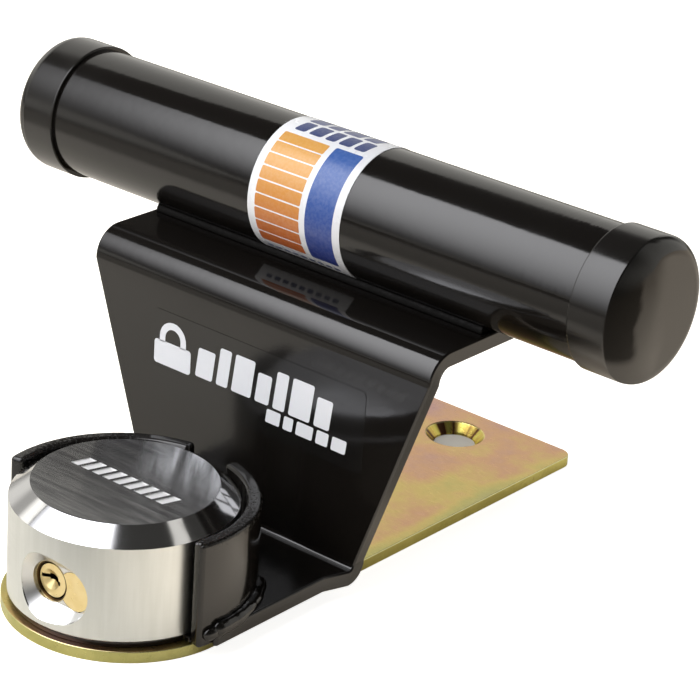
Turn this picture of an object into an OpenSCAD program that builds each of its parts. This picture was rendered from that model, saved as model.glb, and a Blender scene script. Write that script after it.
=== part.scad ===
// Floor-mounted garage door lock: a bolted base plate, a lift-off arm with a blocking tube,
// and a round hidden-shackle padlock that traps the arm on the base plate's staple.
// Origin: on the base plate's underside, below the padlock's axis.
// +X runs along the tube, +Y towards the door, +Z up. Millimetres.

/* [Base plate] */
// Width of the base plate, which is also the diameter of its round front
base_w = 79; // [76:1:84]
// Thickness of the base plate
base_t = 4; // [3:0.5:4]
// Front edge of the base plate
base_front_y = -38; // [-40:0.5:-37]
// Rear edge of the base plate
base_rear_y = 191.5; // [185:0.5:220]
// Radius of the two rear corners
base_corner_r = 5; // [2:0.5:12]
// Through diameter of an anchor hole
anchor_d = 15; // [10:0.5:16]
// Countersink diameter of an anchor hole
anchor_sink_d = 21.6; // [18:0.2:22]
// Distance of the rear anchor hole from the padlock's axis
anchor_rear_y = 172.4; // [165:0.2:174]
// Distance of the two covered anchor holes from the padlock's axis
anchor_front_y = 51; // [50:0.5:53]
// Spacing of the two covered anchor holes
anchor_spacing = 50; // [46:1:52]

/* [Arm] */
// Thickness of the bent arm plate
arm_t = 5.5; // [5:0.25:6]
// Width of the foot
foot_w = 90; // [88:0.5:94]
// Front ends of the foot
foot_front_y = -4.5; // [-6:0.5:0]
// Width where the foot bends up into the riser
bend_w = 96; // [94:1:102]
// Front face of the upright riser
riser_y = 57.5; // [56:0.5:64]
// Width at the top of the riser and of the shelf
shelf_w = 144.5; // [130:0.5:150]
// Height of the shelf's top face
shelf_z = 91.8; // [85:0.2:100]
// Rear edge of the shelf
shelf_rear_y = 112; // [104:1:116]
// Inside radius of the lower bend
lower_bend_r = 2; // [1:0.5:4]
// Outside radius of the upper bend
upper_bend_r = 10.2; // [8:0.2:12]

/* [Guard] */
// Inside radius of the curved guard walls
guard_r = 38.3; // [38:0.1:38.6]
// Thickness of the guard walls
guard_t = 4.8; // [4:0.2:5]
// Height of the guard's top edge
guard_z = 40; // [36:0.5:42]
// Angle of a guard wall's front end, from straight ahead
guard_front_deg = 77; // [70:1:82]
// Half the angle of the gap between the two guard walls at the rear
guard_rear_deg = 12; // [8:1:16]

/* [Tube] */
// Outside diameter of the blocking tube
tube_d = 44.8; // [42:0.2:46]
// Wall thickness of the tube
tube_wall = 2; // [1.5:0.25:3]
// Distance of the tube's axis behind the padlock's axis
tube_y = 96; // [92:0.5:98]
// Distance from the middle of the tube to the rim of an end cap
cap_rim_x = 109.8; // [100:0.2:112]
// Distance from the middle of the tube to the outside of an end cap
cap_end_x = 128.3; // [126:0.1:140]
// Wall thickness of an end cap
cap_wall = 1.3; // [0.8:0.05:2]
// Radius of an end cap's outer edge
cap_edge_r = 5.5; // [4.5:0.5:10]

/* [Padlock] */
// Diameter of the padlock
lock_d = 73; // [72.6:0.1:73.4]
// Height of the padlock's underside
lock_z = 6; // [6:0.1:6.4]
// Height where the side ends and the bevel starts
shoulder_z = 38.4; // [37:0.2:39.4]
// Height of the top face
top_z = 43.5; // [42:0.1:45]
// Diameter of the top face
top_d = 59.7; // [56:0.1:62]

/* [Lock cylinder] */
// Height of the plug's axis
plug_z = 19.6; // [19.6:0.1:20]
// Diameter of the plug
plug_d = 12; // [11.9:0.05:12.1]
// Front face of the plug
plug_face_y = -31.5; // [-31.8:0.1:-31.2]
// How far the pin housing reaches to the side
housing_x = 16.3; // [16.2:0.1:16.8]
// Radius of the pin housing's round side
housing_r = 6.4; // [6.2:0.1:6.5]
// Number of pin stacks
pin_count = 5; // [3:1:5]
// Distance between pin stacks
pin_pitch = 3.2; // [3:0.05:3.25]
// Pin diameter
pin_d = 2.9; // [2.6:0.05:2.9]

/* [Locking bolt] */
// Diameter of the locking bolt
bolt_d = 10; // [9:0.1:10]
// Distance of the bolt and staple behind the padlock's axis
bolt_y = 8; // [8:0.1:8.4]
// Height of the bolt's axis
bolt_z = 14; // [14:0.1:14.2]
// Pitch radius of the drive pinion
pinion_r = 5; // [5:0.01:5.05]
// Number of teeth on the drive pinion
pinion_teeth = 10; // [10]
// Thickness of the staple
staple_t = 8; // [7:0.25:8.5]
// Width of the staple
staple_w = 20; // [18:0.5:20]

/* [Labels] */
// Half the length of the label on the tube
tube_label_x = 19.6; // [10:0.2:30]
// Lower edge of the tube's label, in degrees below its front
tube_label_low = 57; // [20:1:60]
// Upper edge of the tube's label, in degrees above its front
tube_label_high = 128; // [60:1:150]
// Width of the film on the riser
riser_label_w = 92; // [60:1:96]
// Height of the film on the riser
riser_label_h = 29; // [20:1:34]
// Height of the film's middle
riser_label_z = 58; // [50:1:62]
// Thickness of both labels
label_t = 0.15; // [0.1:0.05:0.3]

/* [Hidden] */
$fn = 96;

big = 400;
seam = 0.05;            // gap between two bodies that rest on each other
slip = 0.05;            // radial clearance of a turning or sliding fit
shell_gap = 0.12;       // gap round the lock cylinder's shell in the padlock

// base and arm heights
foot_z = base_t + seam;
foot_top_z = foot_z + arm_t;
tube_r = tube_d / 2;
tube_z = shelf_z + tube_r;
tube_end_x = cap_end_x - cap_edge_r;
guard_out_r = guard_r + guard_t;
lower_out_r = lower_bend_r + arm_t;
upper_in_r = upper_bend_r - arm_t;
riser_low_z = foot_top_z + lower_bend_r;
riser_high_z = shelf_z - upper_bend_r;
foot_rear_y = riser_y - lower_bend_r;

// staple and its clearances
staple_top_z = bolt_z + staple_w / 2 + 1;
staple_gap = 0.7;
floor_gap = 2.3;
floor_t = lock_z - foot_z - seam;
floor_r = lock_d / 2 - 0.9;

// padlock
lock_r = lock_d / 2;
cover_t = 2.5;
cover_r = lock_r - 2.3;
cover_top_z = lock_z + cover_t;
cover_screw_r = 30;
cover_screw_deg = [90, 220, 320];
screw_seat_gap = 0.15;
screw_r = 1.5;
screw_head_r = 2.9;

// cylinder
plug_r = plug_d / 2;
shell_r = plug_r + 0.75;
housing_mid_x = housing_x - housing_r;
plug_sink = 0.6;        // how far the plug's face lies behind the housing's
plug_len = 18.3;
plug_back_y = plug_face_y + plug_len;
clip_t = 1;
tail_r = 3;
tail_flat = 2.1;
pinion_w = 3.4;
pinion_y = plug_back_y + clip_t + 1;
pinion_back_y = pinion_y + pinion_w;
first_pin_y = plug_face_y + 3.2;
driver_x = plug_r + slip;
driver_len = 4;
spring_len = 4.7;
chamber_plug_len = housing_x - driver_x - driver_len - spring_len - 0.15;

// carriage and bolt, drawn drawn back from the staple
rack_pitch = PI * 2 * pinion_r / pinion_teeth;
travel = PI * pinion_r;
rack_y = pinion_y + 0.05;
rack_w = pinion_w;
rack_line_z = plug_z - pinion_r;
rack_right_x = 5.4;
bridge_x = -30;
bridge_t = 3.6;
bridge_rear_y = bolt_y + 5;
bridge_top_z = bolt_z + 5.2;
carriage_z = cover_top_z + 0.1;
bolt_tip_x = -staple_t / 2 - staple_gap - 0.5;
spigot_r = 3;
gap = 0.3;

// ---- shared shapes ----

// a cylinder along Y from y0 to y1, centred on x, z
module rod_y(r, y0, y1, x = 0, z = 0) {
    translate([x, y0, z]) rotate([-90, 0, 0]) cylinder(r = r, h = y1 - y0);
}

// a cylinder along X from x0 to x1, centred on y, z
module rod_x(r, x0, x1, y = 0, z = 0) {
    translate([x0, y, z]) rotate([0, 90, 0]) cylinder(r = r, h = x1 - x0);
}

// a box given by its two corners
module block(a, b) {
    translate(a) cube(b - a);
}

// a 2D outline in X and Z, made solid from y0 to y1
module plate_y(y0, y1) {
    translate([0, y1, 0]) rotate([90, 0, 0]) linear_extrude(y1 - y0) children();
}

// a ring about Z between two angles
module ring_sector(r0, r1, z0, z1, from_deg, sweep_deg) {
    translate([0, 0, z0])
        rotate([0, 0, from_deg])
            rotate_extrude(angle = sweep_deg)
                translate([r0, 0]) square([r1 - r0, z1 - z0]);
}

// a screw with a countersunk head, pointing up from its head's flat face
module countersunk_screw(r, head_r, length) {
    cylinder(r1 = head_r, r2 = r, h = head_r - r);
    cylinder(r = r, h = length);
}

// ---- base ----

module anchor_hole(x, y) {
    sink = (anchor_sink_d - anchor_d) / 2;
    translate([x, y, -1]) cylinder(d = anchor_d, h = base_t + 2);
    translate([x, y, base_t - sink])
        cylinder(r1 = anchor_d / 2, r2 = anchor_sink_d / 2 + 1, h = sink + 1);
}

module base_outline() {
    front_r = base_w / 2;
    corner_x = front_r - base_corner_r;
    translate([0, base_front_y + front_r]) circle(front_r);
    translate([-front_r, base_front_y + front_r])
        square([base_w, base_rear_y - base_corner_r - base_front_y - front_r]);
    translate([-corner_x, base_rear_y - 2 * base_corner_r])
        square([2 * corner_x, 2 * base_corner_r]);
    for (side = [-1, 1])
        translate([side * corner_x, base_rear_y - base_corner_r]) circle(base_corner_r);
}

module base_plate() {
    color("#b9a64b")
    difference() {
        linear_extrude(base_t) base_outline();
        anchor_hole(0, anchor_rear_y);
        for (side = [-1, 1]) anchor_hole(side * anchor_spacing / 2, anchor_front_y);
    }
}

module staple_outline(grow) {
    round_z = staple_top_z - staple_w / 2;
    translate([bolt_y, round_z]) circle(staple_w / 2 + grow);
    translate([bolt_y - staple_w / 2 - grow, 0])
        square([staple_w + 2 * grow, round_z]);
}

// the staple's shape grown by a clearance, standing from z0
module staple_solid(grow, z0) {
    intersection() {
        translate([-staple_t / 2 - grow, 0, 0])
            rotate([90, 0, 90]) linear_extrude(staple_t + 2 * grow) staple_outline(grow);
        translate([-big / 2, -big / 2, z0]) cube(big);
    }
}

module staple() {
    color("#8f9196")
    difference() {
        staple_solid(0, base_t);
        rod_x(bolt_d / 2 + 0.3, -staple_t, staple_t, bolt_y, bolt_z);
    }
}

module staple_weld() {
    bead = 1.6;
    half_x = staple_t / 2;
    low_y = bolt_y - staple_w / 2;
    high_y = bolt_y + staple_w / 2;
    color("#7d7466")
    difference() {
        union() {
            for (side = [-1, 1]) {
                rod_y(bead, low_y, high_y, side * half_x, base_t);
                for (y = [low_y, high_y])
                    translate([side * half_x, y, base_t]) sphere(bead);
            }
            for (y = [low_y, high_y]) rod_x(bead, -half_x, half_x, y, base_t);
        }
        block([-half_x, low_y, 0], [half_x, high_y, 2 * base_t]);
        block([-big, -big, -bead], [big, big, base_t]);
    }
}

// ---- arm ----

module foot_outline() {
    flare_y = foot_rear_y - 9;
    tip_r = 1.2;
    polygon([
        [-foot_w / 2, foot_front_y + tip_r], [foot_w / 2, foot_front_y + tip_r],
        [foot_w / 2, flare_y], [bend_w / 2, foot_rear_y],
        [-bend_w / 2, foot_rear_y], [-foot_w / 2, flare_y]
    ]);
    translate([-foot_w / 2 + tip_r, foot_front_y]) square([foot_w - 2 * tip_r, 2 * tip_r]);
    for (side = [-1, 1])
        translate([side * (foot_w / 2 - tip_r), foot_front_y + tip_r]) circle(tip_r);
}

module riser_outline() {
    polygon([
        [-bend_w / 2, riser_low_z], [bend_w / 2, riser_low_z],
        [shelf_w / 2, riser_high_z], [-shelf_w / 2, riser_high_z]
    ]);
}

// a quarter bend about an axis along X; turn picks the quadrant
module quarter_bend(r0, r1, w, y, z, turn) {
    translate([-w / 2, y, z])
        rotate([0, 90, 0]) rotate([0, 0, turn])
            rotate_extrude_quarter(r0, r1, w);
}

module rotate_extrude_quarter(r0, r1, w) {
    rotate_extrude(angle = 90) translate([r0, 0]) square([r1 - r0, w]);
}

module arm_plate() {
    color("#1d1c1e")
    union() {
        difference() {
            translate([0, 0, foot_z]) linear_extrude(arm_t) foot_outline();
            translate([0, 0, foot_z - 1]) cylinder(r = guard_out_r, h = arm_t + 2);
        }
        quarter_bend(lower_bend_r, lower_out_r, bend_w, foot_rear_y, riser_low_z, 0);
        plate_y(riser_y, riser_y + arm_t) riser_outline();
        quarter_bend(upper_in_r, upper_bend_r, shelf_w, riser_y + upper_bend_r, riser_high_z, 180);
        block([-shelf_w / 2, riser_y + upper_bend_r, shelf_z - arm_t],
              [shelf_w / 2, shelf_rear_y, shelf_z]);
    }
}

// one curved guard wall; side is 1 for the right wall and -1 for the left wall
module guard_wall(side) {
    from_deg = side > 0 ? guard_front_deg - 90 : 90 + guard_rear_deg;
    sweep = 180 - guard_front_deg - guard_rear_deg;
    ring_sector(guard_r, guard_out_r, foot_z, guard_z, from_deg, sweep);
}

module guard_left() {
    color("#1b1a1c") guard_wall(-1);
}

module guard_right() {
    color("#1b1a1c") guard_wall(1);
}

module guard_welds() {
    bead = 2.3;
    from_deg = -2;
    sweep = 44;
    color("#232124")
    for (start = [from_deg, 180 - from_deg - sweep])
        rotate([0, 0, start])
            rotate_extrude(angle = sweep)
                intersection() {
                    translate([guard_out_r, foot_top_z]) circle(bead);
                    translate([guard_out_r, foot_top_z]) square(bead);
                }
}

module floor_plate() {
    half_x = staple_t / 2 + floor_gap;
    half_y = staple_w / 2 + floor_gap;
    side_deg = guard_front_deg - 90;
    color("#19181a")
    difference() {
        union() {
            translate([0, 0, foot_z]) cylinder(r = floor_r, h = floor_t);
            ring_sector(floor_r - 1, guard_r, foot_z, foot_z + floor_t, side_deg, 180 - 2 * side_deg);
        }
        block([-half_x, bolt_y - half_y, 0], [half_x, bolt_y + half_y, 2 * lock_z]);
    }
}

module handle_tube() {
    end_x = tube_end_x - seam;
    color("#1c1b1d")
    difference() {
        rod_x(tube_r, -end_x, end_x, tube_y, tube_z);
        rod_x(tube_r - tube_wall, -end_x - 1, end_x + 1, tube_y, tube_z);
    }
}

module tube_welds() {
    bead = 2.6;
    reach = 8.6;
    half = shelf_w / 2 - 2;
    color("#2a2526")
    difference() {
        for (side = [-1, 1])
            rod_x(bead, -half, half, tube_y + side * reach, shelf_z + 0.6);
        rod_x(tube_r, -big, big, tube_y, tube_z);
        block([-big, -big, 0], [big, big, shelf_z]);
    }
}

// the outline of an end cap's outside, as radius and distance along the tube
module end_cap_outline() {
    out_r = tube_r + cap_wall;
    rim_r = 0.5;
    translate([0, cap_rim_x + rim_r]) square([out_r, tube_end_x - cap_rim_x - rim_r]);
    translate([0, cap_rim_x]) square([out_r - rim_r, 2 * rim_r]);
    translate([out_r - rim_r, cap_rim_x + rim_r]) circle(rim_r);
    translate([0, tube_end_x - 1]) square([out_r - cap_edge_r, cap_edge_r + 1]);
    intersection() {
        translate([out_r - cap_edge_r, tube_end_x]) circle(cap_edge_r);
        square([out_r, cap_end_x]);
    }
}

// an end cap on the right end of the tube: a sleeve with a rounded closed end
module end_cap() {
    cap_end_wall = 3;
    translate([0, tube_y, tube_z])
        rotate([0, 90, 0])
            difference() {
                rotate_extrude() end_cap_outline();
                translate([0, 0, cap_rim_x - 1]) cylinder(r = tube_r, h = tube_end_x - cap_rim_x + 1);
                cylinder(r = tube_r - cap_end_wall, h = cap_end_x - cap_end_wall);
            }
}

module end_cap_right() {
    color("#242426") end_cap();
}

module end_cap_left() {
    color("#242426") mirror([1, 0, 0]) end_cap();
}

module tube_label() {
    color("#e8e8ea")
    translate([-tube_label_x, tube_y, tube_z])
        rotate([0, 90, 0])
            rotate([0, 0, -90 - tube_label_high])
                rotate_extrude(angle = tube_label_high + tube_label_low)
                    translate([tube_r, 0]) square([label_t, 2 * tube_label_x]);
}

module riser_label() {
    corner = 2;
    half_w = riser_label_w / 2 - corner;
    half_h = riser_label_h / 2 - corner;
    color("#3a3a3d")
    plate_y(riser_y - label_t, riser_y)
        translate([2, riser_label_z]) {
            square([2 * half_w + 2 * corner, 2 * half_h], center = true);
            square([2 * half_w, 2 * half_h + 2 * corner], center = true);
            for (x = [-half_w, half_w], z = [-half_h, half_h]) translate([x, z]) circle(corner);
        }
}

// ---- padlock body ----

module lock_profile() {
    edge = 0.6;
    polygon([
        [0, lock_z], [lock_r - edge, lock_z], [lock_r, lock_z + edge],
        [lock_r, shoulder_z], [top_d / 2, top_z], [0, top_z]
    ]);
}

// the outline of the plug's shell and the round pin housing beside it, in X and Z
module housing_outline(grow) {
    translate([0, plug_z]) circle(shell_r + grow);
    translate([housing_mid_x, plug_z]) circle(housing_r + grow);
}

// a row of slanted bars cut into the top face
module top_mark() {
    bars = 9;
    step = 4.6;
    height = 6.5;
    half_w = 1.55;
    half_lean = 1;
    for (i = [0 : bars - 1])
        translate([(i - (bars - 1) / 2) * step, 0])
            polygon([
                [-half_w - half_lean, -height / 2], [half_w - half_lean, -height / 2],
                [half_w + half_lean, height / 2], [-half_w + half_lean, height / 2]
            ]);
}

// a flared oval recess in front of the plug and its pin housing
module cylinder_recess() {
    depth = lock_r + plug_face_y + 1;
    inset = 0.7;
    hull()
        for (x = [inset, housing_mid_x - inset])
            translate([x, plug_face_y, plug_z])
                rotate([90, 0, 0])
                    cylinder(r1 = housing_r + slip, r2 = housing_r + slip + depth, h = depth);
}

module cylinder_opening() {
    plate_y(-lock_r - 1, plug_back_y) housing_outline(shell_gap);
    cylinder_recess();
    rod_y(pinion_r + 1.5, plug_back_y - 1, pinion_back_y + gap, 0, plug_z);
    rod_y(3, pinion_back_y, pinion_back_y + 1.8, 0, plug_z);
    translate([0, screw_y(), cover_top_z - 1]) cylinder(r = screw_r + 0.02, h = plug_z - cover_top_z);
    translate([0, screw_y(), cover_top_z - 1]) cylinder(r = screw_head_r + 0.1, h = 3);
}

// where the screw that holds the shell comes up
function screw_y() = (plug_face_y + plug_back_y) / 2;

module carriage_pocket() {
    rear_y = bridge_rear_y + gap;
    front_y = rack_y - gap;
    block([bridge_x - gap, front_y, cover_top_z - 1],
          [rack_right_x + travel + gap, rack_y + rack_w + gap, rack_line_z + 1.3]);
    block([bridge_x - gap, front_y, cover_top_z - 1],
          [bridge_x + bridge_t + travel + gap, rear_y, bridge_top_z + gap]);
}

module lock_body() {
    mark_depth = 0.3;
    color("#c9ccd0")
    difference() {
        rotate_extrude() lock_profile();
        translate([0, 0, lock_z - 1]) cylinder(r = cover_r + slip, h = cover_t + 1);
        translate([0, 0, top_z - mark_depth]) linear_extrude(1) top_mark();
        cylinder_opening();
        carriage_pocket();
        rod_x(bolt_d / 2 + slip, bridge_x + bridge_t, bolt_tip_x + travel + 0.7, bolt_y, bolt_z);
        staple_solid(staple_gap, lock_z - 1);
        for (a = cover_screw_deg)
            rotate([0, 0, a]) translate([cover_screw_r, 0, lock_z])
                cylinder(r = screw_r, h = 9.5);
    }
}

module bottom_cover() {
    color("#9a9da2")
    difference() {
        translate([0, 0, lock_z]) cylinder(r = cover_r, h = cover_t);
        staple_solid(staple_gap, lock_z - 1);
        for (a = cover_screw_deg)
            rotate([0, 0, a]) translate([cover_screw_r, 0, lock_z - 0.01])
                countersunk_screw(screw_r + 0.05, screw_head_r + screw_seat_gap, cover_t + 1);
    }
}

module cover_screws() {
    socket_depth = 1;
    color("#6f7277")
    for (a = cover_screw_deg)
        rotate([0, 0, a]) translate([cover_screw_r, 0, lock_z + 0.05])
            difference() {
                countersunk_screw(screw_r, screw_head_r, 8.5);
                translate([0, 0, -0.01]) cylinder(r = 1.1, h = socket_depth, $fn = 6);
            }
}

// ---- lock cylinder ----

// repeats its children at each pin stack
module at_pins() {
    for (i = [0 : pin_count - 1])
        translate([0, first_pin_y + i * pin_pitch, plug_z]) children();
}

// a cylinder along X from x0 to x1 on the local axis
module pin_x(r, x0, x1) {
    translate([x0, 0, 0]) rotate([0, 90, 0]) cylinder(r = r, h = x1 - x0);
}

module cylinder_shell() {
    lead = 0.6;
    color("#d2b36a")
    difference() {
        plate_y(plug_face_y, plug_back_y) housing_outline(0);
        rod_y(plug_r + slip, plug_face_y - 1, plug_back_y + 1, 0, plug_z);
        translate([0, plug_face_y, plug_z])
            rotate([-90, 0, 0]) cylinder(r1 = plug_r + slip + lead, r2 = plug_r + slip, h = lead);
        at_pins() pin_x(pin_d / 2 + slip, 0, housing_x + 1);
        translate([0, screw_y(), 0]) cylinder(r = screw_r + 0.02, h = plug_z);
    }
}

module cylinder_screw() {
    head_h = 1.7;
    socket_depth = 1;
    shank_top_z = plug_z - plug_r - 0.3;
    color("#6f7277")
    translate([0, screw_y(), 0])
        difference() {
            union() {
                translate([0, 0, cover_top_z + 0.2]) cylinder(r = screw_head_r, h = head_h);
                translate([0, 0, cover_top_z + 0.2]) cylinder(r = screw_r, h = shank_top_z - cover_top_z - 0.2);
            }
            translate([0, 0, cover_top_z]) cylinder(r = 1.3, h = socket_depth, $fn = 6);
        }
}

// how long the key pin in stack i is
function key_pin_len(i) = 2.2 + 0.35 * ((i * 3 + 2) % 5);

module key_pins() {
    color("#c79a3e")
    intersection() {
        at_pins_key();
        rod_y(plug_r - 0.02, plug_face_y, plug_back_y, 0, plug_z);
    }
}

module at_pins_key() {
    for (i = [0 : pin_count - 1])
        translate([0, first_pin_y + i * pin_pitch, plug_z])
            pin_x(pin_d / 2, plug_r - key_pin_len(i), plug_r + 1);
}

module driver_pins() {
    color("#b8bcc0")
    at_pins() pin_x(pin_d / 2, driver_x, driver_x + driver_len);
}

module chamber_plugs() {
    color("#b08a3a")
    at_pins() pin_x(pin_d / 2 + slip, housing_x - chamber_plug_len, housing_x - 0.1 - housing_sag());
}

// how far the rounded end of the housing falls back over one pin's radius
function housing_sag() = housing_r - sqrt(pow(housing_r, 2) - pow(pin_d / 2 + slip, 2));

// a coil along X: a small polygon swept round a helix
module coil(r, wire_r, length, turns) {
    per_turn = 10;
    sides = 5;
    steps = turns * per_turn;
    points = [
        for (s = [0 : steps], k = [0 : sides - 1])
            let (a = 360 * s / per_turn, b = 360 * k / sides, rr = r + wire_r * cos(b))
                [wire_r + (length - 2 * wire_r) * s / steps + wire_r * sin(b), rr * cos(a), rr * sin(a)]
    ];
    side_faces = [
        for (s = [0 : steps - 1], k = [0 : sides - 1], half = [0, 1])
            let (p = s * sides + k, q = s * sides + (k + 1) % sides)
                half == 0 ? [p, q, q + sides] : [p, q + sides, p + sides]
    ];
    first = [for (k = [0 : sides - 1]) sides - 1 - k];
    last = [for (k = [0 : sides - 1]) steps * sides + k];
    polyhedron(points = points, faces = concat([first], side_faces, [last]));
}

module pin_springs() {
    color("#a9adb2")
    at_pins()
        translate([driver_x + driver_len + 0.05, 0, 0]) coil(1.1, 0.2, spring_len - 0.1, 5);
}

// the key slot, in X and Z about the plug's axis
module keyway_outline() {
    translate([-4.9, -0.2]) square([3.3, 1.2]);
    translate([-2.2, -0.6]) square([4.2, 2.1]);
    translate([1.6, -0.8]) square([1.6, 1.3]);
}

module plug() {
    front_y = plug_face_y + plug_sink;
    edge = 0.45;
    dimple_x = -0.8;
    dimple_r = 3.5;
    dimple_h = 1.6;
    color("#d9bd72")
    difference() {
        union() {
            rod_y(plug_r, front_y + edge, plug_back_y, 0, plug_z);
            translate([0, front_y, plug_z])
                rotate([-90, 0, 0]) cylinder(r1 = plug_r - edge, r2 = plug_r, h = edge);
            rod_y(tail_r + 0.5, plug_back_y, plug_back_y + clip_t, 0, plug_z);
            rod_y(tail_r + 1.6, plug_back_y + clip_t, pinion_y, 0, plug_z);
            tail(tail_r, tail_flat, pinion_y, pinion_back_y - 0.1);
        }
        translate([0, 0, plug_z]) plate_y(plug_face_y - 1, plug_back_y - 1) keyway_outline();
        translate([dimple_x, front_y - 0.01, plug_z])
            rotate([-90, 0, 0]) cylinder(r1 = dimple_r, r2 = 0.8, h = dimple_h);
        at_pins() pin_x(pin_d / 2 + slip, 0, plug_r + 1);
        rod_y(1.1, pinion_y - 3, big, 0, plug_z);
    }
}

// the plug's D-shaped tail
module tail(r, flat, y0, y1) {
    intersection() {
        rod_y(r, y0, y1, 0, plug_z);
        block([-r - 1, y0, plug_z - r - 1], [flat, y1, plug_z + r + 1]);
    }
}

module plug_clip() {
    color("#8b8e93")
    difference() {
        rod_y(tail_r + 2.4, plug_back_y + 0.1, plug_back_y + clip_t - 0.05, 0, plug_z);
        rod_y(tail_r + 0.55, plug_back_y - 1, plug_back_y + 2, 0, plug_z);
        block([-tail_r, plug_back_y - 1, plug_z], [tail_r, plug_back_y + 2, plug_z + 8]);
    }
}

// one pinion tooth pointing down, in X and Z about the pinion's axis
module pinion_tooth() {
    polygon([
        [-1.05, -3.2], [-0.95, -3.7], [-0.58, -pinion_r], [-0.25, -5.85],
        [0.25, -5.85], [0.58, -pinion_r], [0.95, -3.7], [1.05, -3.2]
    ]);
}

module drive_pinion() {
    color("#a0a3a8")
    difference() {
        translate([0, 0, plug_z])
            plate_y(pinion_y + 0.02, pinion_back_y - 0.1) {
                circle(3.7);
                for (i = [0 : pinion_teeth - 1]) rotate(i * 360 / pinion_teeth) pinion_tooth();
            }
        tail(tail_r + 0.02, tail_flat + 0.02, pinion_y - 1, pinion_back_y + 1);
    }
}

module pinion_screw() {
    color("#6f7277")
    difference() {
        union() {
            rod_y(2.6, pinion_back_y - 0.05, pinion_back_y + 1.2, 0, plug_z);
            rod_y(1.08, pinion_y - 2.5, pinion_back_y, 0, plug_z);
        }
        block([-3, pinion_back_y + 0.7, plug_z - 0.3], [3, pinion_back_y + 2, plug_z + 0.3]);
    }
}

// ---- locking bolt ----

// rack teeth on top of the bar, in X and Z; a gap lies straight below the pinion
module rack_outline() {
    root_z = rack_line_z - 1.25;
    tip_z = rack_line_z + 0.85;
    first = -6;
    translate([bridge_x, carriage_z]) square([rack_right_x - bridge_x, root_z - carriage_z]);
    for (i = [first : 1])
        translate([(i - 0.5) * rack_pitch, 0])
            polygon([[-1, root_z - 0.1], [-0.6, rack_line_z], [-0.3, tip_z],
                     [0.3, tip_z], [0.6, rack_line_z], [1, root_z - 0.1]]);
}

module rack_carriage() {
    color("#b4a070")
    difference() {
        union() {
            plate_y(rack_y, rack_y + rack_w) rack_outline();
            block([bridge_x, rack_y, carriage_z], [bridge_x + bridge_t, bridge_rear_y, bridge_top_z]);
        }
        rod_x(spigot_r, bridge_x - 1, bridge_x + bridge_t + 1, bolt_y, bolt_z);
    }
}

module locking_bolt() {
    lead = 1;
    color("#aeb2b8")
    union() {
        rod_x(spigot_r, bridge_x, bridge_x + bridge_t, bolt_y, bolt_z);
        rod_x(bolt_d / 2, bridge_x + bridge_t, bolt_tip_x - lead, bolt_y, bolt_z);
        translate([bolt_tip_x - lead, bolt_y, bolt_z])
            rotate([0, 90, 0]) cylinder(r1 = bolt_d / 2, r2 = bolt_d / 2 - lead, h = lead);
    }
}

base_plate();
staple();
staple_weld();
arm_plate();
guard_left();
guard_right();
guard_welds();
floor_plate();
handle_tube();
tube_welds();
end_cap_left();
end_cap_right();
tube_label();
riser_label();
lock_body();
bottom_cover();
cover_screws();
cylinder_shell();
cylinder_screw();
driver_pins();
pin_springs();
chamber_plugs();
plug();
key_pins();
plug_clip();
drive_pinion();
pinion_screw();
rack_carriage();
locking_bolt();
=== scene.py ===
"""Looks of a floor-mounted garage door lock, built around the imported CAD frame.

Units are metres, in the frame of the CAD part: +X along the tube, +Y towards the door, +Z up.
"""

import math

import bmesh
import bpy
from mathutils import Matrix, Vector, noise


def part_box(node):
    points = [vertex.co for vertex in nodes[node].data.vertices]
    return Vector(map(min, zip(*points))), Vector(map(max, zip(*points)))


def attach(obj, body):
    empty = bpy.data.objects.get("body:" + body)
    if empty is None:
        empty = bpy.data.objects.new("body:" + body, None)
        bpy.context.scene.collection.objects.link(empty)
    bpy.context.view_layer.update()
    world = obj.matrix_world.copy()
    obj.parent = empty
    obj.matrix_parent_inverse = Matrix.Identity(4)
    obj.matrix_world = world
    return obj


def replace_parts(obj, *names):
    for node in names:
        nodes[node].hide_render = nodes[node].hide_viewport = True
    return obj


MM = 0.001
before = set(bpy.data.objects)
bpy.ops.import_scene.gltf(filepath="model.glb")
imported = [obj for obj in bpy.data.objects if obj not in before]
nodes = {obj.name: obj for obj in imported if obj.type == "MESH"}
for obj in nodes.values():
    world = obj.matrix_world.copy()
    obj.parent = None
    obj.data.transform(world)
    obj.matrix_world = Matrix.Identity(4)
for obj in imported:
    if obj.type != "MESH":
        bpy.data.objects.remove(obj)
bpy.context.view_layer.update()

# ---------------------------------------------------------------- sizes taken from the frame

PLATE_HALF_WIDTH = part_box("base_plate")[1].x
LOCK_LOW, LOCK_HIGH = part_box("lock_body")
TUBE_LOW, TUBE_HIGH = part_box("handle_tube")
CAP_END_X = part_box("end_cap_right")[1].x
FILM_FRONT_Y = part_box("riser_label")[0].y
BAND_TOP_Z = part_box("tube_label")[1].z
GUARD_R, GUARD_TOP_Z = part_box("guard_right")[1].x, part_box("guard_right")[1].z
FOOT_TOP_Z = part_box("guard_welds")[0].z

TUBE_R = (TUBE_HIGH.z - TUBE_LOW.z) / 2
TUBE_Y = (TUBE_HIGH.y + TUBE_LOW.y) / 2
TUBE_Z = (TUBE_HIGH.z + TUBE_LOW.z) / 2
LOCK_R = (LOCK_HIGH.x - LOCK_LOW.x) / 2
ANCHOR_Y = 172.4 * MM  # centre of the rear anchor hole


# ---------------------------------------------------------------- node graphs


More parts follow.
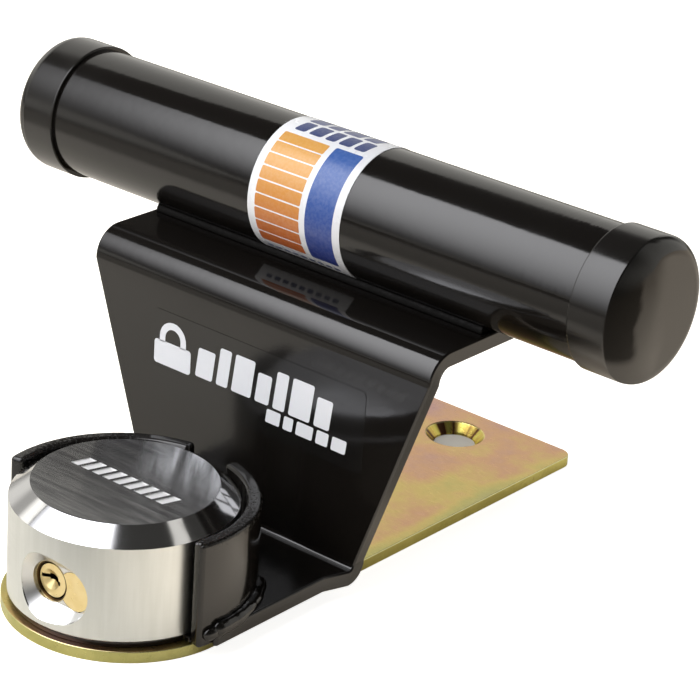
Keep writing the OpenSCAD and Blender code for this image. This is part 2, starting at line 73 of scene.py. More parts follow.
class Graph:
    """Short ways to add nodes to a node tree. An input is a number, a tuple or another node's output."""

    def __init__(self, tree):
        self.tree = tree

    def put(self, socket, value):
        if isinstance(value, bpy.types.NodeSocket):
            self.tree.links.new(value, socket)
        elif isinstance(value, tuple) and len(value) == 3 and socket.type == "RGBA":
            socket.default_value = (*value, 1)
        else:
            socket.default_value = value

    def node(self, kind, inputs=None, out=0, **settings):
        node = self.tree.nodes.new("ShaderNode" + kind)
        for name, value in settings.items():
            setattr(node, name, value)
        for name, value in (inputs or {}).items():
            self.put(node.inputs[name], value)
        return node.outputs[out]

    def math(self, operation, a, b=0.0):
        return self.node("Math", {0: a, 1: b}, operation=operation)

    def add(self, a, b):
        return self.math("ADD", a, b)

    def times(self, a, b):
        return self.math("MULTIPLY", a, b)

    def step(self, value, low, high, to_low=0.0, to_high=1.0):
        """Runs smoothly from to_low, where value is low, to to_high, where value is high."""
        inputs = {"Value": value, "From Min": low, "From Max": high, "To Min": to_low, "To Max": to_high}
        return self.node("MapRange", inputs, interpolation_type="SMOOTHSTEP")

    def xyz(self, vector):
        node = self.tree.nodes.new("ShaderNodeSeparateXYZ")
        self.put(node.inputs[0], vector)
        return node.outputs

    def vector(self, x, y, z):
        return self.node("CombineXYZ", {0: x, 1: y, 2: z})

    def scaled(self, vector, factors):
        return self.node("VectorMath", {0: vector, 1: factors}, operation="MULTIPLY")

    def length(self, vector):
        return self.node("VectorMath", {0: vector}, out="Value", operation="LENGTH")

    def from_anchor(self, x, y):
        """The vector from the rear anchor hole's axis."""
        return self.vector(x, self.math("SUBTRACT", y, ANCHOR_Y), 0.0)

    def noise(self, vector, scale, detail=2.0, roughness=0.5):
        inputs = {"Vector": vector, "Scale": scale, "Detail": detail, "Roughness": roughness}
        return self.node("TexNoise", inputs)

    def mix(self, factor, a, b):
        return self.node("MixRGB", {"Fac": factor, "Color1": a, "Color2": b})

    def ramp(self, value, stops):
        """A colour ramp: stops are (position, colour)."""
        node = self.tree.nodes.new("ShaderNodeValToRGB")
        elements = node.color_ramp.elements
        while len(elements) < len(stops):
            elements.new(0.5)
        for element, (position, colour) in zip(elements, stops):
            element.position = position
            element.color = (*colour, 1)
        self.put(node.inputs[0], value)
        return node.outputs[0]


class Finish(Graph):
    """One procedural material around a Principled shader."""

    def __init__(self, name, colour):
        self.material = bpy.data.materials.new(name)
        self.material.use_nodes = True
        self.material.diffuse_color = (*colour, 1)
        super().__init__(self.material.node_tree)
        self.shader = self.tree.nodes["Principled BSDF"]
        self.place = self.node("TexCoord", out="Object")
        self.normal = self.node("TexCoord", out="Normal")
        self.shade(Base_Color=colour)

    def shade(self, **values):
        for name, value in values.items():
            self.put(self.shader.inputs[name.replace("_", " ")], value)

    def bump(self, height, depth, under=None):
        """Surface relief: height runs 0 to 1 over depth metres."""
        inputs = {"Height": height, "Distance": depth, "Strength": 1.0}
        if under is not None:
            inputs["Normal"] = under
        return self.node("Bump", inputs)


# ---------------------------------------------------------------- materials


def black_enamel():
    """Thick black stoving enamel: orange peel, a few sags, a little dust, and scuffs on the guard's rim."""
    black, dusty = (0.0068, 0.0058, 0.0050), (0.05, 0.05, 0.047)
    f = Finish("black_enamel", black)
    x, y, z = f.xyz(f.place)
    peel = f.noise(f.place, 330, 2.0)
    ripple = f.noise(f.place, 80, 1.0)
    haze = f.noise(f.place, 25, 3.0)
    dust = f.step(f.noise(f.place, 1500, 2.0), 0.70, 0.78)
    sags = f.noise(f.scaled(f.place, (420, 40, 40)), 1, 2.0)
    by_cap = f.times(f.step(x, 78 * MM, 94 * MM), f.step(z, TUBE_Z, TUBE_Z + 6 * MM))
    by_lock = f.step(f.length(f.vector(x, y, 0.0)), GUARD_R, GUARD_R + 1 * MM, 1.0, 0.0)
    by_lock = f.times(by_lock, f.step(y, 30 * MM, 34 * MM, 1.0, 0.0))
    rim = f.times(by_lock, f.step(z, GUARD_TOP_Z - 4 * MM, GUARD_TOP_Z - 1.5 * MM))
    scuff = f.times(rim, f.step(f.noise(f.place, 900, 4.0, 0.7), 0.46, 0.66))
    dulled = f.add(f.times(dust, 0.10), f.times(scuff, 0.30))
    f.shade(Roughness=f.add(f.step(haze, 0.35, 0.7, 0.09, 0.15), dulled))
    relief = f.bump(ripple, 26e-6, f.bump(f.times(sags, by_cap), 60e-6))
    f.shade(Normal=f.bump(scuff, 14e-6, f.bump(peel, 17e-6, relief)))
    f.shade(Base_Color=f.mix(f.add(f.times(dust, 0.25), f.times(scuff, 0.25)), black, dusty))
    return f.material


def black_vinyl():
    """Dipped vinyl end cap: glossy, with a fine grain and shallow sags.

    The flat end is shaded as a dome. A dark patch near its front edge stands in for a reflection, so it
    stays in place when the light changes.
    """
    f = Finish("black_cap", (0.010, 0.009, 0.008))
    x, y, z = f.xyz(f.place)
    grain = f.noise(f.place, 1400, 2.0)
    sag = f.noise(f.place, 60, 2.0)
    round_start = CAP_END_X - 5.2 * MM
    on_end = f.step(f.math("ABSOLUTE", x), round_start, round_start + 0.8 * MM)
    to_front = f.math("SUBTRACT", f.add(y, f.times(f.math("SUBTRACT", sag, 0.5), 14 * MM)), TUBE_Y)
    to_top = f.math("SUBTRACT", z, TUBE_Z)
    patch = f.times(f.step(to_top, -13 * MM, -9 * MM), f.step(to_top, 11 * MM, 18 * MM, 1.0, 0.0))
    mirrored_dark = f.times(f.times(on_end, patch), f.step(to_front, -14 * MM, -10.5 * MM, 0.85, 0.0))
    side = f.math("SIGN", x)
    lean = 18.0
    sway = f.scaled(f.vector(0.0, f.math("SUBTRACT", y, TUBE_Y), to_top), (lean, lean, lean))
    dome = f.node("VectorMath", {0: f.vector(side, 0.0, 0.0), 1: sway}, operation="ADD")
    dome = f.node("VectorMath", {0: dome}, operation="NORMALIZE")
    even = f.times(on_end, f.step(to_front, -9 * MM, 3 * MM, 0.9, 0.0))
    bent = f.mix(even, f.node("NewGeometry", out="Normal"), dome)
    f.shade(Roughness=f.step(sag, 0.3, 0.7, 0.12, 0.19))
    f.shade(Specular_IOR_Level=f.times(0.5, f.math("SUBTRACT", 1.0, mirrored_dark)))
    f.shade(Normal=f.bump(grain, 1.5e-6, f.bump(sag, 50e-6, bent)))
    return f.material


def dull_enamel():
    """Thin enamel down in the corner along the tube: dry and nearly matt."""
    f = Finish("dull_enamel", (0.006, 0.0055, 0.005))
    grit = f.noise(f.place, 900, 3.0)
    f.shade(Roughness=f.step(grit, 0.3, 0.7, 0.45, 0.65), Specular_IOR_Level=0.12)
    f.shade(Normal=f.bump(grit, 20e-6))
    return f.material


def yellow_zinc():
    """Yellow chromate over zinc: gold with pink and green drifts, and olive cut edges, paler at the rear.
    Its cut edges are coloured far lighter towards the rear as painted light, and the rounded rim between top
    and edge has a painted highlight.
    """
    f = Finish("yellow_zinc", (0.55, 0.37, 0.13))
    x, y = f.xyz(f.place)[:2]
    drift = f.noise(f.scaled(f.place, (1.0, 0.6, 1.0)), 17, 2.0, 0.5)
    fine = f.noise(f.scaled(f.place, (60, 900, 60)), 5, 2.0, 0.6)
    cloud = f.noise(f.place, 75, 3.0, 0.6)
    rearward = f.step(y, 130 * MM, 185 * MM, -0.03, 0.13)
    edge = f.step(f.math("ABSOLUTE", x), 32 * MM, PLATE_HALF_WIDTH, 0.0, -0.10)
    hole = f.length(f.from_anchor(x, y))
    round_hole = f.step(hole, 12 * MM, 24 * MM, -0.10, 0.0)
    tone = f.add(f.times(drift, 0.75), f.times(cloud, 0.25))
    tone = f.add(tone, f.add(rearward, f.add(edge, round_hole)))
    top = f.ramp(
        tone,
        [
            (0.28, (0.44, 0.43, 0.21)),
            (0.40, (0.56, 0.50, 0.17)),
            (0.48, (0.68, 0.52, 0.18)),
            (0.56, (0.67, 0.40, 0.22)),
            (0.66, (0.55, 0.33, 0.30)),
        ],
    )
    # The cut edges are coloured far lighter towards the rear than at the front: painted light.
    rear_side_painted_light = f.ramp(cloud, [(0.3, (0.80, 0.72, 0.22)), (0.7, (0.96, 0.88, 0.30))])
    front_side = f.ramp(cloud, [(0.3, (0.41, 0.39, 0.14)), (0.7, (0.53, 0.50, 0.20))])
    side = f.mix(f.step(y, 30 * MM, 100 * MM), front_side, rear_side_painted_light)
    flatness = f.math("ABSOLUTE", f.xyz(f.normal)[2])
    colour = f.mix(f.step(flatness, 0.75, 0.97), side, top)
    # Painted highlight along the rounded rim between top and cut edge, stronger towards the rear.
    painted_rim_highlight = f.times(f.step(flatness, 0.25, 0.45), f.step(flatness, 0.80, 0.96, 1.0, 0.0))
    painted_rim_highlight = f.times(painted_rim_highlight, f.step(y, 30 * MM, 100 * MM, 0.4, 1.0))
    colour = f.mix(painted_rim_highlight, colour, (0.88, 0.86, 0.50))
    in_sink = f.step(hole, 10.2 * MM, 11.2 * MM, 1.0, 0.0)
    radial = f.node("VectorMath", {0: f.from_anchor(x, y)}, operation="NORMALIZE")
    streaks = f.noise(radial, 2.6, 2.0)
    brown, gold, yellow = (0.14, 0.06, 0.03), (0.60, 0.42, 0.10), (0.78, 0.68, 0.16)
    sink = f.ramp(streaks, [(0.42, brown), (0.50, gold), (0.60, yellow)])
    f.shade(Base_Color=f.mix(in_sink, colour, sink), Metallic=1.0)
    f.shade(Roughness=f.step(fine, 0.3, 0.7, 0.27, 0.37))
    f.shade(Normal=f.bump(fine, 1.5e-6, f.bump(cloud, 8e-6)))
    return f.material


def lock_steel():
    """Stainless padlock body: straight-brushed top, polished bevel, satin side, bright engraved marks.

    The top is coloured far darker than the side as a painted dark reflection, and pale streaks at its rear
    right are painted reflections; both stay in place when the light changes.
    """
    f = Finish("lock_steel", (0.60, 0.60, 0.60))
    x, y, z = f.xyz(f.place)
    up = f.xyz(f.normal)[2]
    is_top = f.step(up, 0.93, 0.97)
    outward = f.length(f.vector(x, y, 0.0))
    on_skin = f.step(outward, LOCK_R - 0.5 * MM, LOCK_R - 0.1 * MM)
    is_side = f.times(f.step(up, 0.25, 0.35, 1.0, 0.0), on_skin)
    brush = f.noise(f.scaled(f.place, (18, 1500, 1)), 1, 4.0, 0.7)
    coarse = f.noise(f.scaled(f.place, (30, 420, 1)), 1, 3.0, 0.6)
    turn = f.noise(f.scaled(f.place, (90, 90, 2600)), 1, 3.0, 0.6)
    round_it = f.noise(f.scaled(f.place, (300, 300, 25)), 1, 3.0, 0.6)
    sunk = f.times(f.step(z, LOCK_HIGH.z - 0.26 * MM, LOCK_HIGH.z - 0.12 * MM, 1.0, 0.0), is_top)
    satin = f.step(turn, 0.3, 0.7, 0.28, 0.38)
    brushed = f.step(brush, 0.3, 0.7, 0.15, 0.21)
    in_recess = f.times(f.step(up, 0.70, 0.76, 1.0, 0.0), f.math("SUBTRACT", 1.0, on_skin))
    bevel = f.mix(in_recess, (0.10, 0.10, 0.10), (0.34, 0.34, 0.34))
    rough = f.mix(is_side, f.mix(is_top, bevel, brushed), satin)
    f.shade(Roughness=f.mix(sunk, rough, (0.50, 0.50, 0.50)))
    side = f.mix(f.step(round_it, 0.30, 0.70), (0.67, 0.69, 0.67), (0.72, 0.74, 0.725))
    # The top's base colour is a painted dark reflection, far darker than the steel of the side.
    top = f.mix(f.step(coarse, 0.35, 0.65), (0.22, 0.22, 0.225), (0.36, 0.36, 0.36))
    mirrored_light = f.times(f.step(y, 2 * MM, 20 * MM), f.step(x, -12 * MM, 6 * MM))
    across = f.add(f.times(x, 0.78), f.times(y, 0.62))
    along = f.add(f.times(x, 0.62), f.times(y, -0.78))
    streak = f.noise(f.scaled(f.vector(across, along, 0.0), (300, 22, 1)), 1, 3.0, 0.6)
    streak = f.step(streak, 0.38, 0.60, 0.15, 1.0)
    top = f.mix(f.times(mirrored_light, streak), top, (0.90, 0.91, 0.94))
    shell = f.mix(in_recess, (0.64, 0.64, 0.65), (0.74, 0.745, 0.74))
    tone = f.mix(is_side, f.mix(is_top, shell, top), side)
    f.shade(Base_Color=f.mix(sunk, tone, (0.90, 0.90, 0.90)))
    f.shade(Metallic=f.math("SUBTRACT", 1.0, f.times(sunk, 0.75)))
    brushing = f.add(f.times(is_top, 1.0), f.times(is_side, 0.5))
    f.shade(Anisotropic=f.times(f.math("SUBTRACT", 1.0, sunk), brushing))
    f.shade(Tangent=f.mix(is_top, (0.0, 0.0, 1.0), (0.0, 1.0, 0.0)))
    grooves = f.times(f.add(brush, coarse), f.times(is_top, 0.5))
    rings = f.times(turn, is_side)
    f.shade(Normal=f.bump(grooves, 5e-6, f.bump(rings, 2.0e-6)))
    return f.material


def brushed_metal(name, colour, rough):
    """A plain machined metal: fine marks and a slightly uneven sheen."""
    f = Finish(name, colour)
    marks = f.noise(f.scaled(f.place, (400, 60, 1500)), 1, 3.0, 0.6)
    cloud = f.noise(f.place, 120, 3.0)
    dark = tuple(c * 0.8 for c in colour)
    f.shade(Base_Color=f.mix(f.step(cloud, 0.35, 0.7), dark, colour), Metallic=1.0)
    f.shade(Roughness=f.step(marks, 0.3, 0.7, rough * 0.85, rough * 1.2))
    f.shade(Normal=f.bump(marks, 1.5e-6))
    return f.material


def brass():
    """Satin brass on its faces, with painted shade in dark brown down inside the gaps."""
    clean, painted_gap_shade = (0.92, 0.76, 0.42), (0.050, 0.026, 0.008)
    f = Finish("brass", clean)
    marks = f.noise(f.scaled(f.place, (400, 60, 1500)), 1, 3.0, 0.6)
    cloud = f.noise(f.place, 160, 3.0)
    y = f.xyz(f.place)[1]
    turned_in = f.step(f.math("ABSOLUTE", f.xyz(f.normal)[1]), 0.72, 0.82, 1.0, 0.0)
    front = f.step(y, LOCK_LOW.y + 9 * MM, LOCK_LOW.y + 10 * MM, 1.0, 0.0)
    face = f.mix(f.step(cloud, 0.35, 0.7), (0.86, 0.69, 0.34), clean)
    # Walls that turn in near the front get dark brown painted shade.
    f.shade(Base_Color=f.mix(f.times(turned_in, front), face, painted_gap_shade), Metallic=1.0)
    f.shade(Roughness=f.step(marks, 0.3, 0.7, 0.27, 0.38))
    f.shade(Normal=f.bump(marks, 1.5e-6))
    return f.material


def label_white():
    """White vinyl of the tube label: glossy, very slightly uneven."""
    f = Finish("printed_label", (0.80, 0.81, 0.83))
    soft = f.noise(f.place, 180, 2.0)
    f.shade(Roughness=f.step(soft, 0.3, 0.7, 0.22, 0.30), Normal=f.bump(soft, 6e-6))
    return f.material


def ink(name, low, high, along=None, start=0.0, end=1.0):
    """Printed ink. With along, an axis letter, its colour runs from low to high between start and end."""
    f = Finish(name, high)
    speck = f.noise(f.place, 900, 2.0)
    colour = low
    if along is not None:
        colour = f.mix(f.step(f.xyz(f.place)["XYZ".index(along)], start, end), low, high)
    f.shade(Base_Color=f.mix(f.step(speck, 0.3, 0.75, 0.0, 0.05), colour, (0.9, 0.9, 0.9)))
    f.shade(Roughness=0.28, Normal=f.bump(speck, 1e-6))
    return f.material


def clear_film():
    """Clear film over the enamel: the black shows through, and its thin edge hardly shines."""
    f = Finish("clear_film", (0.008, 0.0075, 0.007))
    bubble = f.step(f.noise(f.place, 420, 1.0), 0.72, 0.80)
    wave = f.noise(f.place, 45, 1.0)
    facing = f.step(f.math("ABSOLUTE", f.xyz(f.normal)[1]), 0.7, 0.95)
    f.shade(Roughness=0.14, Normal=f.bump(bubble, 20e-6, f.bump(wave, 20e-6)))
    f.shade(Specular_IOR_Level=f.times(facing, 0.5))
    return f.material


FINISHES = {
    "dull_enamel": dull_enamel(),
    "yellow_zinc": yellow_zinc(),
    "bare_steel": brushed_metal("bare_steel", (0.50, 0.50, 0.50), 0.32),
    "black_enamel": black_enamel(),
    "black_cap": black_vinyl(),
    "printed_label": label_white(),
    "clear_film": clear_film(),
    "lock_steel": lock_steel(),
    "screw_steel": brushed_metal("screw_steel", (0.22, 0.22, 0.23), 0.36),
    "brass": brass(),
    "nickel": brushed_metal("nickel", (0.62, 0.60, 0.56), 0.22),
    "spring_steel": brushed_metal("spring_steel", (0.45, 0.46, 0.48), 0.28),
}


# ---------------------------------------------------------------- CAD nodes: materials and soft edges

# Radius of the softened edges, in mm. A node that isn't listed keeps its edges.
EDGE_RADIUS = {
    "arm_plate": 0.9,
    "guard_left": 1.4,
    "guard_right": 1.4,
    "base_plate": 0.5,
    "floor_plate": 0.3,
    "handle_tube": 0.25,
    "lock_body": 0.10,
    "bottom_cover": 0.2,
    "cylinder_shell": 0.10,
    "plug": 0.10,
    "staple": 0.5,
    "locking_bolt": 0.2,
    "rack_carriage": 0.15,
    "drive_pinion": 0.08,
    "end_cap_left": 0.12,
    "end_cap_right": 0.12,
}


def soften(node, radius):
    """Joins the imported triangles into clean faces, rounds the sharp edges and evens the shading."""
    weld = node.modifiers.new("join", "WELD")
    weld.merge_threshold = 0.002 * MM
    clean = node.modifiers.new("clean", "DECIMATE")
    clean.decimate_type = "DISSOLVE"
    clean.angle_limit = math.radians(0.4)
    if radius:
        edge = node.modifiers.new("edge", "BEVEL")
        edge.width = radius * MM
        edge.segments = 3
        edge.limit_method = "ANGLE"
        edge.angle_limit = math.radians(28)
        edge.use_clamp_overlap = True
        edge.miter_outer = "MITER_ARC"
    even = node.modifiers.new("even", "WEIGHTED_NORMAL")
    even.weight = 90
    even.keep_sharp = True


def finish_cad_nodes():
    for name, node in nodes.items():
        if "custom_normal" in node.data.attributes:
            node.data.attributes.remove(node.data.attributes["custom_normal"])
        node.data.shade_smooth()
        slot = node.data.materials[0].name.split(".")[0]
        node.data.materials[0] = FINISHES["dull_enamel" if name == "tube_welds" else slot]
        soften(node, EDGE_RADIUS.get(name, 0))


# ---------------------------------------------------------------- printed marks


def rounded_block(x0, x1, y0, y1, slant=0.0, radius=0.8):
    """Outline of a block with rounded corners, leaning to the right by slant for each unit of height."""
    radius = min(radius, (x1 - x0) / 2.01, (y1 - y0) / 2.01)
    points = []
    for cx, cy, start in ((x1, y1, 0), (x0, y1, 90), (x0, y0, 180), (x1, y0, 270)):
        sx = -1 if cx == x1 else 1
        sy = -1 if cy == y1 else 1
        for k in range(5):
            a = math.radians(start + k * 22.5)
            px = cx + sx * radius + radius * math.cos(a)
            py = cy + sy * radius + radius * math.sin(a)
            points.append((px + slant * (py - y0), py))
    return points


def printed(name, outlines, place, thickness, material, body, strip=1.2):
    """Thin solid marks: flat outlines in mm, cut into strips, thickened and laid on a surface by place."""
    mesh = bmesh.new()
    for outline in outlines:
        mesh.faces.new([mesh.verts.new((u, v, 0)) for u, v in outline])
    low = min(v for outline in outlines for u, v in outline)
    high = max(v for outline in outlines for u, v in outline)
    cut = low + strip
    while cut < high - 0.01 and strip < high - low:
        everything = mesh.verts[:] + mesh.edges[:] + mesh.faces[:]
        bmesh.ops.bisect_plane(mesh, geom=everything, dist=1e-5, plane_co=(0, cut, 0), plane_no=(0, 1, 0))
        cut += strip
    lifted = bmesh.ops.extrude_face_region(mesh, geom=mesh.faces[:])["geom"]
    for item in lifted:
        if isinstance(item, bmesh.types.BMVert):
            item.co.z += thickness
    for vert in mesh.verts:
        vert.co = place(*vert.co)
    bmesh.ops.recalc_face_normals(mesh, faces=mesh.faces)
    data = bpy.data.meshes.new(name)
    mesh.to_mesh(data)
    mesh.free()
    data.materials.append(material)
    piece = bpy.data.objects.new(name, data)
    bpy.context.collection.objects.link(piece)
    data.shade_smooth()
    data.set_sharp_from_angle(angle=math.radians(30))
    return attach(piece, body)


def on_riser(u, v, h):
    """u along X and v up, both in mm; h stands proud of the film on the riser."""
    return Vector((u * MM, FILM_FRONT_Y - h * MM, v * MM))


def on_tube(u, v, h):
    """u along X and v round the tube, both in mm; v is 0 at the front and grows towards the top."""
    radius = BAND_TOP_Z - TUBE_Z + h * MM
    angle = v * MM / TUBE_R
    return Vector((u * MM, TUBE_Y - radius * math.cos(angle), TUBE_Z + radius * math.sin(angle)))


def padlock_sign(x, z, size):
    """Outlines of a plain padlock sign: a block under half a ring on two short legs."""
    half, steps = size / 2, 12
    outer = half * 0.72
    inner = outer - size * 0.15
    leg_low, leg_high = z + size * 0.5, z + size * 0.62
    arch = []
    for radius, order in ((outer, range(steps + 1)), (inner, range(steps, -1, -1))):
        for k in order:
            angle = math.pi * k / steps
            arch.append((x + radius * math.cos(angle), leg_high + radius * math.sin(angle)))
    legs = []
    for side in (-1, 1):
        near, far = x + side * inner, x + side * outer
        legs.append([(near, leg_low), (far, leg_low), (far, leg_high), (near, leg_high)])
    return [rounded_block(x - half, x + half, z, z + size * 0.52, 0, 1.2), arch] + legs


def riser_marks():
    """A generic padlock sign and slanted bars, in white on the clear film."""
    pale = (0.78, 0.80, 0.84)
    white = ink("white_ink", pale, pale)
    low, high, lean = 54.0, 67.5, 0.12
    marks = padlock_sign(-35.0, 53.0, 16.5)
    x = -24.5
    for k, width in enumerate((7.5, 5.0, 8.5, 6.0, 5.0, 9.0, 6.5)):
        top = high if k % 3 else high - 3.0
        marks.append(rounded_block(x, x + width, low, top, lean))
        x += width + 1.8
    small_x = 7.0
    for width in (6.0, 4.0, 7.0, 5.0, 6.0):
        marks.append(rounded_block(small_x, small_x + width, 48.2, 53.0, lean, 0.6))
        small_x += width + 1.5
    printed("riser_marks", marks, on_riser, 0.06, white, "arm", strip=100)


def tube_marks():
    """A generic two-colour label print: bars, an orange block with fine lines, and a blue block."""
    per_degree = math.radians(1) * TUBE_R / MM
    blue = ink("blue_ink", (0.012, 0.030, 0.20), (0.034, 0.105, 0.36), "Z", TUBE_Z - 0.016, TUBE_Z + 0.02)
    dark = (0.020, 0.040, 0.16)
    navy = ink("navy_ink", dark, dark)
    orange = ink("orange_ink", (0.49, 0.105, 0.012), (0.68, 0.34, 0.07), "Z", TUBE_Z - 0.016, TUBE_Z + 0.018)
    rows = []
    for angle, span, widths in ((92, 15, (6.4, 5.2, 7.0, 5.8)), (73, 16, (4.6, 5.4, 4.2, 5.0, 4.6))):
        u = -15.0
        for width in widths:
            low, high = angle * per_degree, (angle + span) * per_degree
            rows.append(rounded_block(u, u + width, low, high, 0.15, 0.9))
            u += width + 1.5
    for k in range(9):
        u = -16.0 + k * 3.6
        rows.append(rounded_block(u, u + 2.4, -50 * per_degree, -46.5 * per_degree, 0, 0.4))
    printed("label_bars", rows, on_tube, 0.03, navy, "arm")
    low, high = -40 * per_degree, 68 * per_degree
    lines = []
    count, gap = 9, 0.5
    pitch = (high - low) / count
    for k in range(count):
        start = low + k * pitch
        lines.append(rounded_block(-16.5, 2.5, start + gap / 2, start + pitch - gap / 2, 0, 0.5))
    printed("label_orange", lines, on_tube, 0.03, orange, "arm")
    block = rounded_block(5.0, 16.5, low, high, 0, 0.8)
    printed("label_blue", [block], on_tube, 0.03, blue, "arm")


# ---------------------------------------------------------------- weld beads


def add_bead(mesh, path, radius, seed, ripples):
    """A weld bead along path, whose items are (point, outward, up), with ripples and round ends."""
    count, sides = len(path), 14
    rings = []
    for k, (point, out, up) in enumerate(path):
        near_end = min(k, count - 1 - k) / 5
        end = math.sqrt(max(0.002, 1 - (1 - min(1.0, near_end)) ** 2))
        ripple = 1 + ripples * math.sin(k * 1.55 + 0.8 * math.sin(k * 0.21))
        wander = 1 + 0.14 * noise.noise(Vector((k * 0.11, seed, 0)))
        size = radius * ripple * wander * end
        turns = [2 * math.pi * j / sides for j in range(sides)]
        rings.append([mesh.verts.new(point + size * (math.cos(a) * out + math.sin(a) * up)) for a in turns])
    for a, b in zip(rings, rings[1:]):
        for j in range(sides):
            mesh.faces.new((a[j], a[(j + 1) % sides], b[(j + 1) % sides], b[j]))
    mesh.faces.new(rings[0])
    mesh.faces.new(rings[-1])


def add_blob(mesh, centre, radii, turn=0.0):
    """A rounded drop with different radii along X, Y and Z, turned about Z, all in mm."""
    matrix = Matrix.Translation(centre) @ Matrix.Rotation(turn, 4, "Z")
    matrix = matrix @ Matrix.Diagonal((*(r * MM for r in radii), 1))
    bmesh.ops.create_uvsphere(mesh, u_segments=24, v_segments=16, radius=1, matrix=matrix)


def finish_piece(name, mesh, material, body):
    bmesh.ops.recalc_face_normals(mesh, faces=mesh.faces)
    data = bpy.data.meshes.new(name)
    mesh.to_mesh(data)
    mesh.free()
    data.materials.append(FINISHES[material])
    data.shade_smooth()
    piece = bpy.data.objects.new(name, data)
    bpy.context.collection.objects.link(piece)
    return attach(piece, body)


def guard_welds():
    """Painted beads along the foot of each guard wall, with a thick drop over the foot's front end."""
    for name, side in (("right_guard_weld", 1), ("left_guard_weld", -1)):
        mesh = bmesh.new()
        path = []
        for k in range(64):
            angle = math.radians(-6 + 50 * k / 63)
            out = Vector((side * math.cos(angle), math.sin(angle), 0))
            path.append((out * GUARD_R + Vector((0, 0, FOOT_TOP_Z - 0.2 * MM)), out, Vector((0, 0, 1))))
        add_bead(mesh, path, 2.9 * MM, seed=3.0 * side, ripples=0.006)
        toe = math.radians(-6.5)
        centre = Vector((side * math.cos(toe), math.sin(toe), 0)) * (GUARD_R + 0.3 * MM)
        add_blob(mesh, centre + Vector((0, 0, 8.6 * MM)), (2.0, 3.2, 2.4), side * toe)
        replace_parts(finish_piece(name, mesh, "black_enamel", "arm"), "guard_welds")


def paint_drop():
    """A hardened drop of paint on the front top corner of the right guard wall."""
    angle = math.radians(-11.5)
    mesh = bmesh.new()
    out = Vector((math.cos(angle), math.sin(angle), 0))
    centre = out * (GUARD_R - 2.2 * MM) + Vector((0, 0, GUARD_TOP_Z - 0.6 * MM))
    add_blob(mesh, centre, (1.5, 1.2, 1.0), angle)
    finish_piece("paint_drop", mesh, "black_enamel", "arm")


# ---------------------------------------------------------------- studio


def studio_world():
    """White to the camera; to the part a dim tent, lighter at the rear right, with a pale strip above it."""
    world = bpy.data.worlds.new("studio")
    world.use_nodes = True
    bpy.context.scene.world = world
    g = Graph(world.node_tree)
    background = world.node_tree.nodes["Background"]
    x, y, z = g.xyz(g.node("TexCoord", out="Generated"))
    strip = g.times(g.step(z, 0.80, 0.82), g.step(z, 0.875, 0.89, 1.0, 0.0))
    strip = g.times(strip, g.step(g.math("ABSOLUTE", g.math("SUBTRACT", y, x)), 0.10, 0.14, 1.0, 0.0))
    strip = g.times(strip, g.step(x, 0.1, 0.2, 0.0, 0.6))
    low = g.step(z, 0.0, 0.35, 0.60, 0.05)
    rear_right = g.times(g.step(y, 0.3, 0.75), g.step(z, 0.62, 0.70, 0.90, 0.0))
    rear_right = g.times(rear_right, g.step(x, -0.15, 0.10))
    level = g.add(g.math("MAXIMUM", low, rear_right), g.times(strip, 1.5))
    light = g.scaled(g.vector(1.0, 0.975, 0.91), level)
    seen = g.node("LightPath", out="Is Camera Ray")
    g.put(background.inputs["Color"], g.mix(seen, light, (1.0, 1.0, 1.0)))
    g.put(background.inputs["Strength"], g.add(1.0, g.times(seen, 0.05)))


def stage_sheet(name, corners, surface):
    """A flat sheet of the studio, in metres; surface(graph) gives the shader of its material."""
    mesh = bpy.data.meshes.new(name)
    mesh.from_pydata(corners, [], [tuple(range(len(corners)))])
    sheet = bpy.data.objects.new(name, mesh)
    bpy.context.collection.objects.link(sheet)
    material = bpy.data.materials.new(name)
    material.use_nodes = True
    g = Graph(material.node_tree)
    g.tree.nodes.clear()
    output = g.tree.nodes.new("ShaderNodeOutputMaterial")
    g.put(output.inputs["Surface"], surface(g))
    mesh.materials.append(material)
    return sheet


def backdrop_surface(g):
    """The wall on the left: brighter with height, with a darker band at the front and a bright front end."""
    y, z = g.xyz(g.node("TexCoord", out="Object"))[1:]
    level = g.step(z, 0.0, 0.14, 0.35, 0.95)
    dip = g.step(g.math("ABSOLUTE", g.math("SUBTRACT", z, 0.37)), 0.06, 0.17, 0.42, 0.0)
    level = g.math("SUBTRACT", level, g.times(dip, g.step(y, 0.15, 0.40, 1.0, 0.0)))
    end = g.times(g.step(y, -0.06, -0.03, 1.0, 0.0), g.step(z, 0.38, 0.55, 0.0, 1.7))
    level = g.math("MAXIMUM", level, end)
    return g.node("Emission", {"Color": g.scaled(g.vector(1.0, 0.975, 0.91), level), "Strength": 1.0})


def soft_light_surface(g):
    """The soft light: brightest in the middle of its width, fading towards its foot."""
    x, _, z = g.xyz(g.node("TexCoord", out="Object"))
    level = g.step(x, -0.78, -0.36, 1.0, 5.5)
    level = g.times(level, g.step(x, -0.03, 0.11, 1.0, 0.0))
    level = g.times(level, g.step(z, 0.10, 0.68, 0.12, 1.0))
    return g.node("Emission", {"Color": g.scaled(g.vector(1.0, 1.0, 1.03), level), "Strength": 1.0})


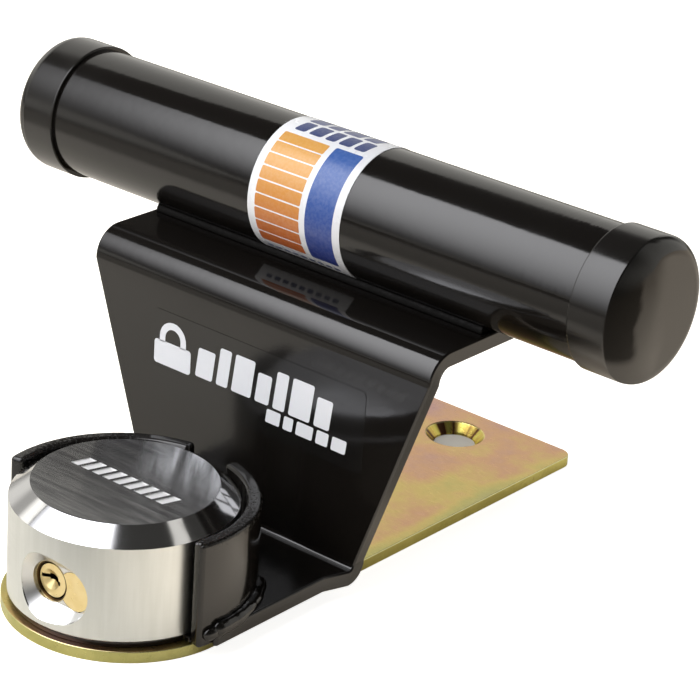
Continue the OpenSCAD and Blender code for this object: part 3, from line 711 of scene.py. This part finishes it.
def floor_surface(g):
    """White to the camera, dimmed round the rear anchor hole as a painted shadow; to the part pale, with a
    warm fill on the right that has a darker patch, a painted shadow of the part.
    """
    x, y = g.xyz(g.node("TexCoord", out="Object"))[:2]
    near = g.mix(g.step(y, -0.14, -0.075), (0.35, 0.33, 0.29), (0.88, 0.83, 0.73))
    tone = g.mix(g.step(y, 0.3, 0.8), near, (0.50, 0.47, 0.42))
    tone = g.mix(g.step(y, -1.1, -0.5, 1.0, 0.0), tone, (0.80, 0.77, 0.72))
    seen = g.node("LightPath", out="Is Camera Ray")
    right = g.times(g.step(x, 0.03, 0.08, 0.0, 0.78), g.step(y, -0.1, 0.05, 0.3, 1.0))
    # The darker patch in the fill is a painted shadow of the part.
    shade = g.times(g.step(x, 0.055, 0.075), g.step(x, 0.12, 0.22, 1.0, 0.0))
    shade = g.times(shade, g.step(y, 0.06, 0.12, 0.0, 0.75))
    right = g.times(right, g.math("SUBTRACT", 1.0, shade))
    fill = g.node("Emission", {"Color": (1.0, 0.85, 0.68), "Strength": right})
    # Seen by the camera, the floor is dimmed round the rear anchor hole: a painted shadow under the hole.
    hole = g.length(g.from_anchor(x, y))
    white = g.step(hole, 9 * MM, 14 * MM, 0.10, 0.88)
    glow = g.node("Emission", {"Color": (1.0, 1.0, 1.0), "Strength": white})
    extra = g.node("MixShader", {0: seen, 1: fill, 2: glow})
    return g.node("AddShader", {0: g.node("BsdfDiffuse", {"Color": tone}), 1: extra})


def studio():
    """Floor, a pale wall to the left and a large tilted soft light at the front left, all in metres."""
    studio_world()
    far = 3.0
    stage_sheet("floor", [(-far, -far, 0), (far, -far, 0), (far, far, 0), (-far, far, 0)], floor_surface)
    rising = [(2.5, 1.45), (0.96, 0.968), (0.40, 0.81), (0.30, 0.73), (-0.03, 0.60)]
    wall = [(-0.671, -0.03, 0.0), (-0.671, 2.5, 0.0)] + [(-0.671, y, z) for y, z in rising]
    end = [(-0.80, -0.9, 0.0), (-0.80, -0.03, 0.0), (-0.80, -0.03, 0.66), (-0.80, -0.9, 0.66)]
    lamp = [(-0.80, -0.105, 0.8), (-0.39, -0.035, 0.8), (0.11, -0.11, 0.8)]
    lamp += [(0.11, -0.9, 0.15), (-0.80, -0.9, 0.15)]
    sheets = [
        stage_sheet("wall", wall, backdrop_surface),
        stage_sheet("wall_end", end, backdrop_surface),
        stage_sheet("soft_light", lamp, soft_light_surface),
    ]
    for sheet in sheets:
        sheet.visible_camera = False


def camera():
    """The photograph's viewing angle: from the front right, a little above, rolled by a few degrees."""
    azimuth, elevation, roll = math.radians(38.52), math.radians(23.68), math.radians(4.0)
    aim = Vector((20.41, 82.24, 70.70)) * MM
    distance = 902.6 * MM
    back = Vector(
        (
            math.sin(azimuth) * math.cos(elevation),
            -math.cos(azimuth) * math.cos(elevation),
            math.sin(elevation),
        )
    )
    right = Vector((math.cos(azimuth), math.sin(azimuth), 0))
    up = back.cross(right)
    side = math.cos(roll) * right + math.sin(roll) * up
    data = bpy.data.cameras.new("camera")
    data.lens = 142.4
    data.sensor_width = 36.0
    data.clip_start, data.clip_end = 0.05, 20
    view = bpy.data.objects.new("camera", data)
    view.matrix_world = Matrix.Translation(aim + back * distance) @ Matrix(
        (side, back.cross(side), back)
    ).transposed().to_4x4()
    bpy.context.collection.objects.link(view)
    bpy.context.scene.camera = view


bpy.context.scene.view_settings.view_transform = "Standard"
finish_cad_nodes()
riser_marks()
tube_marks()
guard_welds()
paint_drop()
studio()
camera()
